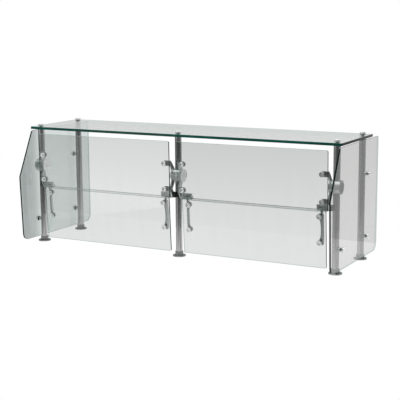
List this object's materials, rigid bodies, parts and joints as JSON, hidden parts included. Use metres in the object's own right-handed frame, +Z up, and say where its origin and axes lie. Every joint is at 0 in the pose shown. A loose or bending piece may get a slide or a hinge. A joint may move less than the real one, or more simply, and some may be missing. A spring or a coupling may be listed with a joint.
{
  "type": "countertop sneeze guard",
  "caption": "Glass food shield for a buffet counter: glass top and ends on tube posts, with tilting upper front panels and lower front panels that fold back.",
  "frame": {"origin": "centre of the whole guard's footprint, at the level of the counter", "axes": "+X along the counter to the guest's right, +Y from the guest side to the server side, +Z up"},
  "size_m": [1.336, 0.4868, 0.48],
  "materials": {
    "brushed_tube": "satin brushed stainless tube",
    "satin_steel": "satin stainless",
    "glass": "clear tempered glass with polished green edges",
    "rubber": "black rubber",
    "clear_plastic": "clear nylon"
  },
  "bodies": {
    "frame": {"post_front_left": "brushed_tube", "post_front_middle": "brushed_tube", "post_front_right": "brushed_tube", "post_rear_left": "brushed_tube", "post_rear_right": "brushed_tube", "foot_front_left": "satin_steel", "foot_front_middle": "satin_steel", "foot_front_right": "satin_steel", "foot_rear_left": "satin_steel", "foot_rear_right": "satin_steel", "foot_set_screws": "satin_steel", "post_plugs": "satin_steel", "top_glass": "glass", "top_glass_seats": "rubber", "top_glass_sleeves": "clear_plastic", "cap_seats": "rubber", "top_caps": "satin_steel", "end_panel_left": "glass", "end_panel_right": "glass", "standoff_inserts": "satin_steel", "standoff_spacers": "satin_steel", "standoff_gaskets": "clear_plastic", "standoff_studs": "satin_steel", "standoff_caps": "satin_steel", "hub_left": "satin_steel", "hub_middle": "satin_steel", "hub_right": "satin_steel", "hub_set_screws": "satin_steel", "hub_friction_washers": "rubber", "hub_end_discs": "satin_steel", "hub_disc_screws": "satin_steel", "hub_panel_pads": "clear_plastic"},
    "left_upper": {"left_upper_glass": "glass", "left_spider_outer": "satin_steel", "left_spider_inner": "satin_steel", "left_hinge_bars": "satin_steel", "left_hinge_pins": "satin_steel", "left_stop_bumpers": "rubber", "left_upper_gaskets": "clear_plastic", "left_upper_buttons": "satin_steel"},
    "left_lower": {"left_lower_glass": "glass", "left_arm_outer": "satin_steel", "left_arm_inner": "satin_steel", "left_lower_gaskets": "clear_plastic", "left_lower_buttons": "satin_steel"},
    "right_upper": {"right_upper_glass": "glass", "right_spider_outer": "satin_steel", "right_spider_inner": "satin_steel", "right_hinge_bars": "satin_steel", "right_hinge_pins": "satin_steel", "right_stop_bumpers": "rubber", "right_upper_gaskets": "clear_plastic", "right_upper_buttons": "satin_steel"},
    "right_lower": {"right_lower_glass": "glass", "right_arm_outer": "satin_steel", "right_arm_inner": "satin_steel", "right_lower_gaskets": "clear_plastic", "right_lower_buttons": "satin_steel"}
  },
  "joints": [
    {"name": "left_tilt", "type": "hinge", "parent": "frame", "child": "left_upper", "pos_m": [0, -0.12264, 0.312], "axis": [1, 0, 0], "range_deg": [-30, 0]},
    {"name": "left_fold", "type": "hinge", "parent": "left_upper", "child": "left_lower", "pos_m": [0, -0.13558, 0.23271], "axis": [1, 0, 0], "range_deg": [0, 160]},
    {"name": "right_tilt", "type": "hinge", "parent": "frame", "child": "right_upper", "pos_m": [0, -0.12264, 0.312], "axis": [1, 0, 0], "range_deg": [-30, 0]},
    {"name": "right_fold", "type": "hinge", "parent": "right_upper", "child": "right_lower", "pos_m": [0, -0.13558, 0.23271], "axis": [1, 0, 0], "range_deg": [0, 160]}
  ]
}
